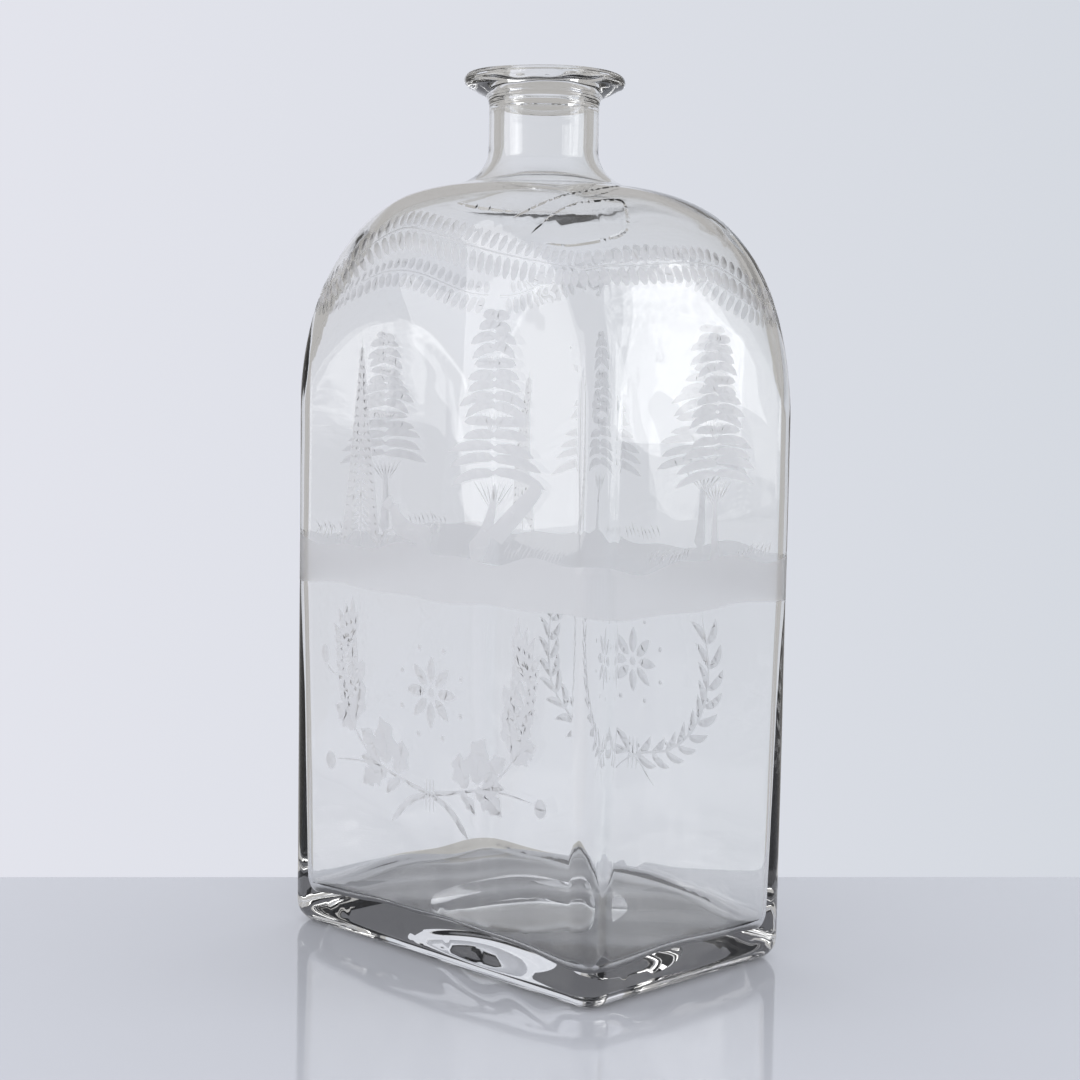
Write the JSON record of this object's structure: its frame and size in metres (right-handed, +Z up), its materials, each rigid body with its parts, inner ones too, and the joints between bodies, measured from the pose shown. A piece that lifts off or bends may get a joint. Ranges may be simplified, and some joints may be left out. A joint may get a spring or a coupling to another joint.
{
  "type": "bitters bottle",
  "caption": "Rectangular clear glass bottle with domed shoulders, short round neck and a wide flange lip laid on its end; thick rounded base, open mouth.",
  "frame": {"origin": "centre of the base, on the plane that the bottle stands on", "axes": "+Z up along the neck and out of the mouth, X across the two short panels, -Y and +Y out of the two long panels"},
  "size_m": [0.122, 0.079, 0.24],
  "materials": {
    "clear_glass": "gloss"
  },
  "bodies": {
    "root": {"bottle_body": "clear_glass", "lip_ring": "clear_glass"}
  },
  "joints": []
}
